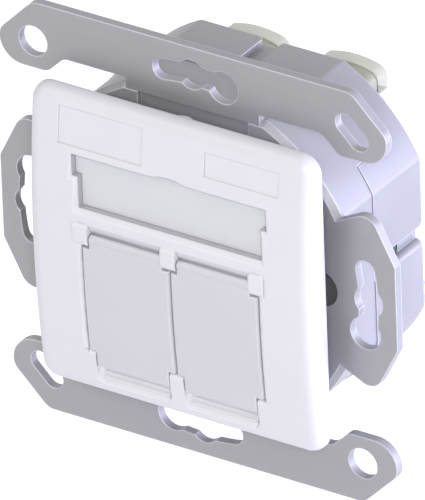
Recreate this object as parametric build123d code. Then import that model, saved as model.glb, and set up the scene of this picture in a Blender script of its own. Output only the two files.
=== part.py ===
from build123d import *
import math
import os

# Flush-mounted twin data outlet insert, in millimetres. X runs to the right as seen from the room,
# Y runs into the wall and Z runs up. The origin is the centre of the circle of the wall-box screws,
# in the plane of the wall, which is the back face of the mounting strips and ears.

# Mounting strips and ears
STRIP_T = 1.5  # thickness, from the wall towards the room
CORNER_PITCH = 56.0  # square of the corner fixings
LOBE_OUT = 6.0  # corner fixing to the end of its strip
LOBE_IN = 2.4  # corner fixing to the slanted inner edge of its lobe
LOBE_UP = 6.6  # corner fixing to the outer edge of its strip
LOBE_DOWN = 4.5  # corner fixing to the inner edge of its lobe
STRIP_CHAMFER = 6.0  # corner cut at each end
STRIP_H = 8.2  # height of the middle of a strip
STRIP_CORNER_R = 2.5
STRIP_LOBE_R = 4.0
STRIP_NECK_R = 2.0
TAB_HALF_W = 11.8  # half width of the tab that joins a strip to the body
TAB_OVERLAP = 0.85  # how far the tab laps over the body's face
TAB_WEDGE = 2.5  # length of the fillet wedge behind the tab
EAR_HALF_X = 34.8  # centre to the outer edge of an ear
EAR_FLAT_Z = 7.0  # half height of the ear's straight outer edge
EAR_PEAK = (30.6, 15.15)  # where the two slants of an ear would meet
EAR_ROOT = (22.0, 10.85)  # where its inner slant starts, under the plate
EAR_PEAK_R = 2.5
EAR_SIDE_R = 0.5

# Fixing holes
BOX_CIRCLE_R = 30.0  # box screws at 60 mm across
KEYHOLE_W = 3.4  # arc slot for the shank of a box screw
KEYHOLE_REACH = 6.8  # from the slot's middle to its narrow end
KEYHOLE_BULGE_R = 2.45  # round middle
KEYHOLE_LOBE = (5.5, 29.25)  # centre of the lobe that passes a screw's head
KEYHOLE_LOBE_R = 2.65
CORNER_HOLE_R = 2.5
CORNER_SLOT_W = 3.4
CORNER_SLOT_L = 6.6

# Die-cast body in two shells
BODY_FLAT = 25.5  # centre to a flank
BODY_R = 28.4  # circle that cuts the corners, to pass a 60 mm wall box
CREASE_R = 1.5
FACE_BEVEL = 0.9
FRONT_DEPTH = 8.8  # room face to the parting line
LIP_DEPTH = 1.5  # the parting line steps back by this above and below
LIP_Z = 16.6
BODY_DEPTH = 21.6  # room face to the back of the rear shell
BODY_WALL = 1.8
FACE_T = 2.0
BACK_T = 1.8
SHELL_STEP = 0.15  # the rear shell stands proud of the front shell by this
GROOVE_W = 2.6  # groove along the middle of each flank of the rear shell
GROOVE_DEPTH = 1.2
GROOVE_EDGE_R = 1.1  # its following edge, clockwise
GROOVE_END_R = 1.0  # its leading edge, at the back
FACE_RECESS_HALF_W = 9.7  # shallow recess in the face, below and above the tabs
FACE_RECESS_H = 7.5
FACE_RECESS_DEPTH = 0.9

# Screws
SCREW_R = 1.5
SCREW_HEAD_R = 2.75
SCREW_HEAD_H = 2.0
SCREW_SLOT_W = 0.8
SCREW_SLOT_DEPTH = 0.9
THREAD_GAP = 0.05  # between a screw and its tapped hole
SHANK_GAP = 0.1
HEAD_GAP = 0.3
BODY_SCREW_X = 21.5
COUNTERBORE_DEPTH = 8.4
BOSS_WALL = 1.35
THREAD_WALL = 1.5
BODY_SCREW_ENGAGE = 4.0  # thread length in the rear shell

# Circuit board
BOARD_FRONT = 13.3
BOARD_T = 1.6
BOARD_GAP = 0.3
BOARD_TAB_W = 2.2  # tab that shows in the slot of each flank
BOARD_TAB_GAP = 0.2
BOARD_POST_XZ = 17.4
BOARD_POST_W = 3.6

# Sockets
JACK_PITCH = 15.7
JACK_Z = -11.2
JACK_W = 15.0
JACK_H = 14.0
JACK_SEAT_GAP = 0.1  # between a socket's mouth and the back of the plate
JACK_WINDOW_GAP = 0.45
SHIELD_T = 0.25
SHIELD_SLOT_W = 1.6
SHIELD_SLOT_L = 7.0
PLUG_W = 11.9
PLUG_H = 6.9
PLUG_TOP = 4.6  # above the socket's middle
PLUG_DEPTH = 13.0
LATCH_W = 6.4
LATCH_H = 1.5
LATCH_TIP_W = 4.0
LATCH_TIP_H = 1.3
CONTACT_COUNT = 8
CONTACT_PITCH = 1.02
CONTACT_T = 0.4
CONTACT_ROOM_H = 1.0  # chamber over the plug, for the straight run of the contacts
CONTACT_FRONT = 3.2  # mouth to the bend of the contacts
CONTACT_TIP_BACK = 6.5  # length of the springing leg along Y
CONTACT_TIP_DROP = 2.6

# Terminal blocks behind the board, with their wire caps
BLOCK_PITCH = 17.0
BLOCK_W = 10.5
BLOCK_TOP = 16.7
BLOCK_BOTTOM = -1.0
BLOCK_DEPTH = 14.6
BLOCK_CHANNEL_W = 3.0
BLOCK_CHANNEL_DEPTH = 7.0
BLOCK_ROWS = 4
BLOCK_ROW_PITCH = 4.2
BLOCK_SLIT_W = 1.0
BLOCK_SLIT_DEPTH = 5.5
BLOCK_NECK_GAP = 0.15
BLADE_T = 0.4
BLADE_W = 2.6
BLADE_SLIT = 0.4
BLADE_SHOW = 2.2  # how far a blade stands in from the mouth of its slit
CAP_TOP = 20.75
CAP_SHOULDER_R = 1.6
CAP_CROWN = 1.0
CAP_WALL = 0.9
CAP_FRONT = 18.6
CAP_RIM_L = 2.5
CAP_RIM_T = 0.2
WINDOW_GAP = 0.4

# Cable clamp below the blocks
CABLE_R = 3.5
CLAMP_Z = -16.0
CLAMP_H = 6.0
CLAMP_T = 1.5
CLAMP_SCREW_X = 18.0
CLAMP_END = 2.8  # screw to the end of the clamp
CLAMP_END_R = 2.9
CLAMP_POST_R = 2.8
CLAMP_POST_H = 5.0
SADDLE_T = 0.8
SADDLE_H = 2.6
SADDLE_WALL = 1.2

# Centre plate
PLATE_SIZE = 50.0
PLATE_CORNER_R = 3.0
PLATE_FRONT = 9.45  # wall to the middle of the plate's face
PLATE_BACK = 5.3  # wall to the back edge of its rim
CROWN_R = 180.0  # the face is bowed up and down
PLATE_WALL = 1.5
PLATE_EDGE_R = 2.2
PLATE_SCREW_Z = 11.0
PLATE_BOSS_R = 4.4
PLATE_FOOT_XZ = 18.0
PLATE_FOOT_W = 2.6
PLATE_SCREW_L = 11.0
PRY_TAB_X = 1.0  # half-moon tab behind the top of the rim
PRY_TAB_W = 3.4
PRY_TAB_OUT = 0.85
PRY_TAB_DROP = 0.25
PLAQUE_DEPTH = 0.15
PLAQUE_LEFT = (-19.4, 16.7, -4.7, 22.8)  # low x, low z, high x, high z
PLAQUE_RIGHT = (6.3, 17.9, 19.3, 21.9)

# Label pocket, window and card
LABEL_TOP = 15.4
LABEL_STEP_Z = 11.8
LABEL_BOTTOM = 6.6
LABEL_HALF_W = 17.1
LABEL_LOW_HALF_W = 16.1
LABEL_FACE = 8.75  # wall to the flat face of the window
LABEL_BEVEL_DEPTH = 0.1
LABEL_GAP = 0.1
COVER_T = 1.1
CARD_T = 0.3
LABEL_FLOOR_T = 1.25
NAIL_NOTCH_W = 6.2
NAIL_NOTCH_H = 0.6
NAIL_NOTCH_DEPTH = 0.7

# Dust flaps and their hinges
BEAD_R = 0.7  # round bead along the top of a flap, level with the plate's face
BEAD_Z = 1.9
BEAD_NECK = 0.4  # middle of the bead to the top of the flap's leaf
BEAD_GAP = 0.1
HINGE_BACK = 0.25  # the hinge line lies this far behind the middle of the bead
HINGE_UP = 0.05
FLAP_T = 1.0
FLAP_RECESS = 0.1
FLAP_STEP_Z = -17.3
FLAP_BOTTOM = -20.0
FLAP_INNER_X = 0.15
FLAP_OUTER_X = 15.45
FLAP_EDGE_R = 0.45
FLAP_SIDE_GAP = 0.15
FLAP_END_GAP = 0.2
FLAP_STOP_GAP = 0.15
TRUNNION_R = 0.55
TRUNNION_L = 0.9
TRUNNION_GAP = 0.05
LUG_INNER_X = 14.25  # side lugs reach from here outwards
LUG_OUTER_X = 16.8
LUG_MID_HALF_W = 1.25
LUG_GAP = 0.15
LUG_PROUD = 0.4
LUG_BELOW = 1.2  # hinge line to the foot of a lug
LUG_ABOVE = 2.65
LUG_FOOT_R = 1.0
LUG_BEVEL = 0.65
SHOULDER_GAP = 0.45  # between a lug's foot and the shoulder of the flap
BEVEL_DEPTH = 0.95  # slanted band above the hinge line
BEVEL_H = 1.52
POCKET_SIDE_R = 0.7
POCKET_STEP_R = 0.9
SCOOP_BOTTOM = -22.9  # finger scoops below the flaps
SCOOP_MIDDLE_Z = -20.6
SCOOP_R = 2.8
SCOOP_END = 0.7  # slant at the two ends of a scoop
RIDGE_R = 0.2
RIDGE_ANGLES = (18, 34)  # places of two grip ridges round the scoop, down from its deepest line
PLUG_WINDOW_W = 12.8
PLUG_WINDOW_H = 13.6

# Places that follow from the sizes above
CORNER_XZ = CORNER_PITCH / 2
STRIP_HALF_X = CORNER_XZ + LOBE_OUT
STRIP_TOP_Z = CORNER_XZ + LOBE_UP
FACE_Y = -STRIP_T
PARTING_Y = FACE_Y + FRONT_DEPTH
BODY_BACK = FACE_Y + BODY_DEPTH
BOARD_BACK = BOARD_FRONT + BOARD_T
JACK_FRONT = -PLATE_BACK + JACK_SEAT_GAP
BLOCK_BACK = BOARD_BACK + BLOCK_DEPTH
SEAT_Y = FACE_Y + COUNTERBORE_DEPTH
COUNTERBORE_R = SCREW_HEAD_R + HEAD_GAP
BOSS_R = COUNTERBORE_R + BOSS_WALL
CLAMP_HALF_X = CLAMP_SCREW_X + CLAMP_END
LABEL_BACK = -LABEL_FACE + COVER_T + CARD_T
BEAD_Y = -PLATE_FRONT + BEAD_R
BEAD_REACH = BEAD_R + math.hypot(HINGE_BACK, HINGE_UP)
HINGE_Y = BEAD_Y + HINGE_BACK
HINGE_Z = BEAD_Z + HINGE_UP
HINGE_ROOM_BACK = HINGE_Y + BEAD_R + BEAD_GAP
LUG_BOTTOM = HINGE_Z - LUG_BELOW
LUG_TOP = HINGE_Z + LUG_ABOVE
BEVEL_BOTTOM = HINGE_Z + BEAD_REACH + BEAD_GAP
BEVEL_TOP = BEVEL_BOTTOM + BEVEL_H
FLAP_TOP = BEAD_Z - BEAD_NECK
FLAP_SHOULDER_Z = LUG_BOTTOM - SHOULDER_GAP
FLAP_NARROW_INNER_X = LUG_MID_HALF_W + LUG_GAP
FLAP_NARROW_OUTER_X = LUG_INNER_X - LUG_GAP
POCKET_HALF_X = FLAP_OUTER_X + FLAP_SIDE_GAP
POCKET_STEP_Z = FLAP_STEP_Z - FLAP_END_GAP
POCKET_DEPTH = FLAP_RECESS + FLAP_T + FLAP_STOP_GAP
SCOOP_LOW_X = FLAP_NARROW_INNER_X - FLAP_END_GAP
SCOOP_HIGH_X = FLAP_NARROW_OUTER_X + FLAP_END_GAP
FAR = 100.0  # longer than anything here, for cutting tools


def slab(outline, front, back):
    """Solid with an X-Z outline, from the depth `front` to the depth `back`."""
    return extrude(Plane.XZ.offset(-back) * outline, amount=back - front)


def bar(profile, left, right):
    """Solid with a Y-Z profile, from `left` to `right` along X."""
    return extrude(Plane.YZ.offset(left) * profile, amount=right - left)


def rod(x, z, radius, front, back):
    """Round solid along Y."""
    return slab(Pos(x, z) * Circle(radius), front, back)


def panel(low_x, low_z, high_x, high_z):
    """X-Z rectangle given by two corners."""
    return Pos((low_x + high_x) / 2, (low_z + high_z) / 2) * Rectangle(high_x - low_x, high_z - low_z)


def rounded_outline(corners):
    """Closed outline from (x, z, corner radius) in order."""
    points = [(x, z) for x, z, _ in corners]
    radii = [radius for _, _, radius in corners]
    return make_face(FilletPolyline(*points, radius=radii, close=True))


def both_sides(corners):
    """Corners of the right half of an outline, followed by their mirror images."""
    return corners + [(-x, z, radius) for x, z, radius in reversed(corners)]


def turned(outline, quarter):
    """Outline turned clockwise, as seen from the room, by a number of quarter turns."""
    return Rot(0, 0, -90 * quarter) * outline


def mirrored_x(shape):
    return mirror(shape, about=Plane.YZ)


def crown_y(z):
    """Depth of the plate's bowed face at a height."""
    return CROWN_R - PLATE_FRONT - math.sqrt(CROWN_R**2 - z**2)


def edge_cut(radius):
    """What a rounding takes off a square corner at (0, 0) whose material lies right and below."""
    return panel(-1, -radius, radius, 0) - Pos(radius, -radius) * Circle(radius)


def screw(x, z, seat, length, head_radius=SCREW_HEAD_R):
    """Slotted screw along Y, with its head in front of `seat`."""
    head = rod(x, z, head_radius, seat - SCREW_HEAD_H, seat)
    slot = slab(
        Pos(x, z) * Rectangle(2 * head_radius + 1, SCREW_SLOT_W),
        seat - SCREW_HEAD_H,
        seat - SCREW_HEAD_H + SCREW_SLOT_DEPTH,
    )
    shank = rod(x, z, SCREW_R, seat, seat + length)
    return head - slot + shank


# The mounting frame and the two shells of the body


def strip_outline():
    """Top strip: chamfered end lobes, slanted necks and the tab that runs onto the body."""
    low = STRIP_TOP_Z - STRIP_H
    lobe_low = CORNER_XZ - LOBE_DOWN
    lobe_inner = CORNER_XZ - LOBE_IN
    neck_rise = low - lobe_low
    tab_low = BODY_FLAT - TAB_OVERLAP
    right = [
        (STRIP_HALF_X - STRIP_CHAMFER, STRIP_TOP_Z, STRIP_CORNER_R),
        (STRIP_HALF_X, STRIP_TOP_Z - STRIP_CHAMFER, STRIP_CORNER_R),
        (STRIP_HALF_X, lobe_low, STRIP_LOBE_R),
        (lobe_inner, lobe_low, STRIP_NECK_R),
        (lobe_inner - neck_rise, low, STRIP_NECK_R),
        (TAB_HALF_W, low, 0),
        (TAB_HALF_W, tab_low, 0),
    ]
    return rounded_outline(both_sides(right))


def ear_outline():
    """Right ear: straight outer edge, two slants and rounded peaks."""
    upper = [
        (EAR_ROOT[0], EAR_ROOT[1], 0),
        (EAR_PEAK[0], EAR_PEAK[1], EAR_PEAK_R),
        (EAR_HALF_X, EAR_FLAT_Z, EAR_SIDE_R),
    ]
    lower = [(x, -z, radius) for x, z, radius in reversed(upper)]
    return rounded_outline(upper + lower)


def keyhole_outline():
    """Arc slot on the box-screw circle at the top, narrow end left, head lobe right."""
    inner = Circle(BOX_CIRCLE_R - KEYHOLE_W / 2)
    outer = Circle(BOX_CIRCLE_R + KEYHOLE_W / 2)
    reach = KEYHOLE_REACH - KEYHOLE_W / 2
    end_z = math.sqrt(BOX_CIRCLE_R**2 - reach**2)
    sector = panel(-reach, end_z - KEYHOLE_W, KEYHOLE_LOBE[0], BOX_CIRCLE_R + KEYHOLE_W)
    arc = (outer - inner) & sector
    end = Pos(-reach, end_z) * Circle(KEYHOLE_W / 2)
    bulge = Pos(0, BOX_CIRCLE_R) * Circle(KEYHOLE_BULGE_R)
    lobe = Pos(*KEYHOLE_LOBE) * Circle(KEYHOLE_LOBE_R)
    return arc + end + bulge + lobe


def fixing_holes():
    """Four keyholes, two round corner holes and two corner slots at 45 degrees."""
    slot = Rot(0, 0, -45) * SlotOverall(CORNER_SLOT_L, CORNER_SLOT_W)
    holes = [turned(keyhole_outline(), quarter) for quarter in range(4)]
    for side in (-1, 1):
        holes.append(Pos(side * CORNER_XZ, -side * CORNER_XZ) * Circle(CORNER_HOLE_R))
        holes.append(Pos(side * CORNER_XZ, side * CORNER_XZ) * slot)
    return [slab(hole, FACE_Y - 1, 1) for hole in holes]


def body_section(inset):
    """Square section with its corners cut by a circle, as on the inside of the shells."""
    flat = BODY_FLAT - inset
    return Rectangle(2 * flat, 2 * flat) & Circle(BODY_R - inset)


def body_outline(inset=0.0):
    """Outer section of the shells, with its creases rounded."""
    section = body_section(inset)
    return fillet(section.vertices(), CREASE_R)


def above_and_below(distance):
    """The two half-planes further than `distance` above and below the middle."""
    upper = panel(-FAR, distance, FAR, FAR)
    return upper + panel(-FAR, -FAR, FAR, -distance)


def tab_wedge():
    """Fillet wedge behind the tab of the top strip."""
    low = BODY_FLAT - TAB_OVERLAP
    high = STRIP_TOP_Z - STRIP_H
    profile = make_face(Polyline((-STRIP_T / 2, low), (-STRIP_T / 2, high), (0, high), (TAB_WEDGE, low), close=True))
    return bar(profile, -TAB_HALF_W, TAB_HALF_W)


def make_support_frame():
    """Front shell with its strips and ears, one casting."""
    shell = slab(body_outline(SHELL_STEP), FACE_Y, PARTING_Y)
    shell = chamfer(shell.faces().sort_by(Axis.Y)[0].edges(), FACE_BEVEL)
    lips = slab(
        (body_outline(SHELL_STEP) - body_section(BODY_WALL)) & above_and_below(LIP_Z),
        PARTING_Y,
        PARTING_Y + LIP_DEPTH,
    )
    cavity = slab(body_section(BODY_WALL), FACE_Y + FACE_T, PARTING_Y)
    shell = shell - cavity + lips
    for side in (-1, 1):
        boss = rod(side * BODY_SCREW_X, 0, BOSS_R, FACE_Y + FACE_T / 2, BOARD_FRONT)
        front_part = boss & slab(body_section(BODY_WALL / 2), FACE_Y, PARTING_Y)
        back_part = boss & slab(body_section(BODY_WALL + SHELL_STEP), PARTING_Y, BOARD_FRONT)
        shell = shell + front_part + back_part
    plate_thread_back = -PLATE_BACK + PLATE_SCREW_L
    shell = shell + rod(0, PLATE_SCREW_Z, SCREW_R + THREAD_WALL, FACE_Y + FACE_T / 2, plate_thread_back)
    strip = slab(strip_outline(), FACE_Y, 0)
    wedge = tab_wedge()
    ear = slab(ear_outline(), FACE_Y, 0)
    shell = shell + strip + mirror(strip, about=Plane.XY) + wedge + mirror(wedge, about=Plane.XY)
    shell = shell + ear + mirrored_x(ear)
    recess_top = BODY_FLAT - TAB_OVERLAP
    recess = slab(
        panel(-FACE_RECESS_HALF_W, recess_top - FACE_RECESS_H, FACE_RECESS_HALF_W, recess_top),
        FACE_Y,
        FACE_Y + FACE_RECESS_DEPTH,
    )
    window_half_x = JACK_PITCH / 2 + JACK_W / 2 + JACK_WINDOW_GAP
    window_half_z = JACK_H / 2 + JACK_WINDOW_GAP
    window = slab(
        panel(-window_half_x, JACK_Z - window_half_z, window_half_x, JACK_Z + window_half_z),
        FACE_Y,
        FACE_Y + FACE_T,
    )
    shell = shell - recess - mirror(recess, about=Plane.XY) - window
    for side in (-1, 1):
        shell = shell - rod(side * BODY_SCREW_X, 0, COUNTERBORE_R, FACE_Y, SEAT_Y)
        shell = shell - rod(side * BODY_SCREW_X, 0, SCREW_R + SHANK_GAP, SEAT_Y, BOARD_FRONT)
    shell = shell - rod(0, PLATE_SCREW_Z, SCREW_R + THREAD_GAP, FACE_Y, plate_thread_back)
    for hole in fixing_holes():
        shell = shell - hole
    return shell


def rear_outline():
    """Section of the rear shell, with a groove along the middle of each flank."""
    section = body_outline()
    groove = panel(-GROOVE_W / 2, BODY_FLAT - GROOVE_DEPTH, GROOVE_W / 2, BODY_FLAT + 1)
    groove = groove + Pos(GROOVE_W / 2, BODY_FLAT) * edge_cut(GROOVE_EDGE_R)
    for quarter in range(4):
        section = section - turned(groove, quarter)
    return section


def groove_ends():
    """What rounds the leading edge of each groove where it meets the back."""
    cut = Pos(BODY_BACK, GROOVE_W / 2) * Rot(0, 0, 180) * edge_cut(GROOVE_END_R)
    end = bar(cut, BODY_FLAT - GROOVE_DEPTH, BODY_FLAT + 1)
    return [Rot(0, 90 * quarter, 0) * end for quarter in range(4)]


def clamp_saddles():
    """Two half-round cable saddles and two screw posts on the back of the rear shell."""
    pieces = []
    cable_y = BODY_BACK + SADDLE_T + CABLE_R
    for side in (-1, 1):
        x = side * BLOCK_PITCH / 2
        half = CABLE_R + SADDLE_WALL
        block = slab(
            panel(x - half, CLAMP_Z - CLAMP_H / 2, x + half, CLAMP_Z + CLAMP_H / 2),
            BODY_BACK,
            BODY_BACK + SADDLE_H,
        )
        trough = Pos(x, cable_y, CLAMP_Z) * Cylinder(CABLE_R, CLAMP_H + 2)
        pieces.append(block - trough)
        pieces.append(rod(side * CLAMP_SCREW_X, CLAMP_Z, CLAMP_POST_R, BODY_BACK, BODY_BACK + CLAMP_POST_H))
    return pieces


def make_rear_housing():
    """Rear shell: can with flank grooves, board posts, block windows and the cable saddles."""
    shell = slab(rear_outline(), PARTING_Y, BODY_BACK)
    shell = shell - slab(body_section(BODY_WALL), PARTING_Y, BODY_BACK - BACK_T)
    shell = shell - slab(above_and_below(LIP_Z), PARTING_Y, PARTING_Y + LIP_DEPTH)
    inside = slab(body_section(BODY_WALL / 2), BOARD_BACK, BODY_BACK - BACK_T / 2)
    post_outline = Rectangle(BOARD_POST_W, BOARD_POST_W)
    for side in (-1, 1):
        shell = shell + (rod(side * BODY_SCREW_X, 0, SCREW_R + THREAD_WALL, BOARD_BACK, BODY_BACK) & inside)
        for level in (-1, 1):
            post = slab(Pos(side * BOARD_POST_XZ, level * BOARD_POST_XZ) * post_outline, BOARD_BACK, BODY_BACK)
            shell = shell + (post & inside)
    for piece in clamp_saddles():
        shell = shell + piece
    for end in groove_ends():
        shell = shell - end
    tab_half = BOARD_TAB_W / 2 + BOARD_TAB_GAP
    for side in (-1, 1):
        x = side * BLOCK_PITCH / 2
        half = BLOCK_W / 2 + WINDOW_GAP
        window = slab(
            panel(x - half, BLOCK_BOTTOM - WINDOW_GAP, x + half, CAP_TOP + WINDOW_GAP),
            BODY_BACK - BACK_T,
            BODY_BACK,
        )
        tab_slot = slab(
            panel(0, -tab_half, BODY_FLAT, tab_half), BOARD_FRONT - BOARD_TAB_GAP, BOARD_BACK
        ) - slab(panel(0, -FAR, BODY_FLAT - 2 * BODY_WALL, FAR), PARTING_Y, BODY_BACK)
        shell = shell - window - (tab_slot if side > 0 else mirrored_x(tab_slot))
        thread_end = BOARD_BACK + BODY_SCREW_ENGAGE
        shell = shell - rod(side * BODY_SCREW_X, 0, SCREW_R + THREAD_GAP, BOARD_BACK, thread_end)
        shell = shell - rod(
            side * CLAMP_SCREW_X, CLAMP_Z, SCREW_R + THREAD_GAP, BODY_BACK - BACK_T / 2, BODY_BACK + CLAMP_POST_H
        )
    return shell


def make_housing_screws():
    """The two screws that join the shells from the room side."""
    length = BOARD_BACK + BODY_SCREW_ENGAGE - SEAT_Y
    return [screw(side * BODY_SCREW_X, 0, SEAT_Y, length) for side in (-1, 1)]


# The board with its sockets and terminals


def make_circuit_board():
    """Board that fills the rear shell, with a locating tab in the slot of each flank."""
    board = slab(body_section(BODY_WALL + BOARD_GAP), BOARD_FRONT, BOARD_BACK)
    tab_reach = BODY_FLAT - GROOVE_DEPTH
    board = board + slab(
        panel(-tab_reach, -BOARD_TAB_W / 2, tab_reach, BOARD_TAB_W / 2), BOARD_FRONT, BOARD_BACK
    )
    for side in (-1, 1):
        board = board - rod(side * BODY_SCREW_X, 0, SCREW_R + SHANK_GAP, BOARD_FRONT, BOARD_BACK)
    return board


def jack_body(x):
    """Moulded socket: plug cavity, latch channel and the chamber of the contacts."""
    half_w = JACK_W / 2 - SHIELD_T
    half_h = JACK_H / 2 - SHIELD_T
    body = slab(panel(x - half_w, JACK_Z - half_h, x + half_w, JACK_Z + half_h), JACK_FRONT, BOARD_FRONT)
    top = JACK_Z + PLUG_TOP
    low = top - PLUG_H
    plug = slab(panel(x - PLUG_W / 2, low, x + PLUG_W / 2, top), JACK_FRONT, JACK_FRONT + PLUG_DEPTH)
    latch = slab(
        panel(x - LATCH_W / 2, low - LATCH_H, x + LATCH_W / 2, low), JACK_FRONT, JACK_FRONT + PLUG_DEPTH
    )
    tip = slab(
        panel(x - LATCH_TIP_W / 2, low - LATCH_H - LATCH_TIP_H, x + LATCH_TIP_W / 2, low - LATCH_H),
        JACK_FRONT,
        JACK_FRONT + PLUG_DEPTH,
    )
    room_half = CONTACT_PITCH * CONTACT_COUNT / 2
    room = slab(
        panel(x - room_half, top, x + room_half, top + CONTACT_ROOM_H), JACK_FRONT + CONTACT_FRONT, BOARD_FRONT
    )
    return body - plug - latch - tip - room


def jack_contacts(x):
    """Eight springing wires: a straight run under the roof of the chamber, bent back into the cavity."""
    roof = JACK_Z + PLUG_TOP + CONTACT_ROOM_H
    bend_y = JACK_FRONT + CONTACT_FRONT
    tip_y = bend_y + CONTACT_TIP_BACK
    leg = Polyline(
        (BOARD_FRONT, roof),
        (bend_y, roof),
        (bend_y, roof - 2 * CONTACT_T),
        (tip_y, roof - CONTACT_TIP_DROP - CONTACT_T),
        (tip_y, roof - CONTACT_TIP_DROP),
        (bend_y + 2 * CONTACT_T, roof - CONTACT_T),
        (BOARD_FRONT, roof - CONTACT_T),
        close=True,
    )
    first = x - CONTACT_PITCH * (CONTACT_COUNT - 1) / 2
    wires = []
    for index in range(CONTACT_COUNT):
        left = first + index * CONTACT_PITCH - CONTACT_T / 2
        wires.append(bar(make_face(leg), left, left + CONTACT_T))
    return wires


def jack_shield(x):
    """Folded sheet round the socket, with a spring slot in each side."""
    outer = panel(x - JACK_W / 2, JACK_Z - JACK_H / 2, x + JACK_W / 2, JACK_Z + JACK_H / 2)
    half_w = JACK_W / 2 - SHIELD_T
    half_h = JACK_H / 2 - SHIELD_T
    inner = panel(x - half_w, JACK_Z - half_h, x + half_w, JACK_Z + half_h)
    shield = slab(outer - inner, JACK_FRONT, BOARD_FRONT)
    slot_start = JACK_FRONT + SHIELD_SLOT_W
    slots = slab(
        panel(x - FAR, JACK_Z - SHIELD_SLOT_W / 2, x + FAR, JACK_Z + SHIELD_SLOT_W / 2),
        slot_start,
        slot_start + SHIELD_SLOT_L,
    )
    return shield - slots


def block_row_levels():
    """Heights of the rows of wire slits in a terminal block."""
    middle = (BLOCK_TOP + BLOCK_BOTTOM) / 2
    start = middle - BLOCK_ROW_PITCH * (BLOCK_ROWS - 1) / 2
    return [start + row * BLOCK_ROW_PITCH for row in range(BLOCK_ROWS)]


def arch_outline(x, inset=0.0, low=BLOCK_TOP):
    """Arched section of a wire cap."""
    half = BLOCK_W / 2 - inset
    top = CAP_TOP - inset
    shoulder = top - CAP_CROWN
    arch = Edge.make_three_point_arc((x + half, shoulder), (x, top), (x - half, shoulder))
    sides = Polyline((x - half, shoulder), (x - half, low), (x + half, low), (x + half, shoulder))
    outline = make_face([arch] + sides.edges())
    shoulders = [corner for corner in outline.vertices() if corner.Y > low + CAP_CROWN / 2]
    return fillet(shoulders, max(CAP_SHOULDER_R - inset, 0.5))


def terminal_block(x):
    """Cutting-contact block: two columns of slits either side of a wire channel, and a neck for the cap."""
    half = BLOCK_W / 2
    body = slab(panel(x - half, BLOCK_BOTTOM, x + half, BLOCK_TOP), BOARD_BACK, BLOCK_BACK)
    neck = slab(
        arch_outline(x, CAP_WALL + BLOCK_NECK_GAP, BLOCK_TOP), CAP_FRONT, BLOCK_BACK - CAP_WALL - BLOCK_NECK_GAP
    )
    channel = slab(
        panel(x - BLOCK_CHANNEL_W / 2, BLOCK_BOTTOM, x + BLOCK_CHANNEL_W / 2, BLOCK_TOP),
        BLOCK_BACK - BLOCK_CHANNEL_DEPTH,
        BLOCK_BACK,
    )
    body = body - channel + neck
    for level in block_row_levels():
        body = body - slab(
            panel(x - half, level - BLOCK_SLIT_W / 2, x + half, level + BLOCK_SLIT_W / 2),
            BLOCK_BACK - BLOCK_SLIT_DEPTH,
            BLOCK_BACK,
        )
    return body


def blade_places(x):
    """Middle of each cutting contact of a block."""
    column = (BLOCK_W / 2 + BLOCK_CHANNEL_W / 2) / 2
    return [(x + side * column, level) for side in (-1, 1) for level in block_row_levels()]


def blade_outline(x, z):
    return panel(x - BLADE_T / 2, z - BLADE_W / 2, x + BLADE_T / 2, z + BLADE_W / 2)


def terminal_contacts(x):
    """Forked cutting contacts, each standing on the board across one slit."""
    blades = []
    for blade_x, level in blade_places(x):
        front = BOARD_BACK
        back = BLOCK_BACK - BLADE_SHOW
        blade = slab(blade_outline(blade_x, level), front, back)
        fork = slab(
            panel(blade_x - BLADE_T, level - BLADE_SLIT / 2, blade_x + BLADE_T, level + BLADE_SLIT / 2),
            BLOCK_BACK - BLOCK_SLIT_DEPTH,
            back,
        )
        blades.append(blade - fork)
    return blades


def cut_blade_pockets(block, x):
    """Block with the pockets that its cutting contacts stand in."""
    for blade_x, level in blade_places(x):
        block = block - slab(blade_outline(blade_x, level), BOARD_BACK, BLOCK_BACK - BLADE_SHOW)
    return block


def wire_cap(x):
    """Translucent arched cap with a rim band round its back end."""
    hood = slab(arch_outline(x), CAP_FRONT, BLOCK_BACK)
    inside = slab(arch_outline(x, CAP_WALL), CAP_FRONT, BLOCK_BACK - CAP_WALL)
    rim = slab(arch_outline(x, -CAP_RIM_T), BLOCK_BACK - CAP_RIM_L, BLOCK_BACK) - slab(
        arch_outline(x), BLOCK_BACK - CAP_RIM_L, BLOCK_BACK
    )
    return hood - inside + rim


def make_cable_clamp():
    """Bent bar with an arch over each cable."""
    seat = BODY_BACK + CLAMP_POST_H
    cable_y = BODY_BACK + SADDLE_T + CABLE_R
    low = CLAMP_Z - CLAMP_H / 2
    flat = make_face(
        Polyline(
            (-CLAMP_HALF_X, seat), (CLAMP_HALF_X, seat), (CLAMP_HALF_X, seat + CLAMP_T),
            (-CLAMP_HALF_X, seat + CLAMP_T), close=True,
        )
    )
    for side in (-1, 1):
        flat = flat + Pos(side * BLOCK_PITCH / 2, cable_y) * Circle(CABLE_R + CLAMP_T)
    flat = flat & make_face(
        Polyline((-FAR, seat), (FAR, seat), (FAR, seat + FAR), (-FAR, seat + FAR), close=True)
    )
    for side in (-1, 1):
        flat = flat - Pos(side * BLOCK_PITCH / 2, cable_y) * Circle(CABLE_R)
    clamp = extrude(Plane.XY.offset(low) * flat, amount=CLAMP_H)
    ends = slab(
        Pos(0, CLAMP_Z) * RectangleRounded(2 * CLAMP_HALF_X, CLAMP_H, CLAMP_END_R), BODY_BACK, BODY_BACK + FAR
    )
    clamp = clamp & ends
    for side in (-1, 1):
        clamp = clamp - rod(side * CLAMP_SCREW_X, CLAMP_Z, SCREW_R + SHANK_GAP, seat, seat + CLAMP_T)
    return clamp


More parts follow.
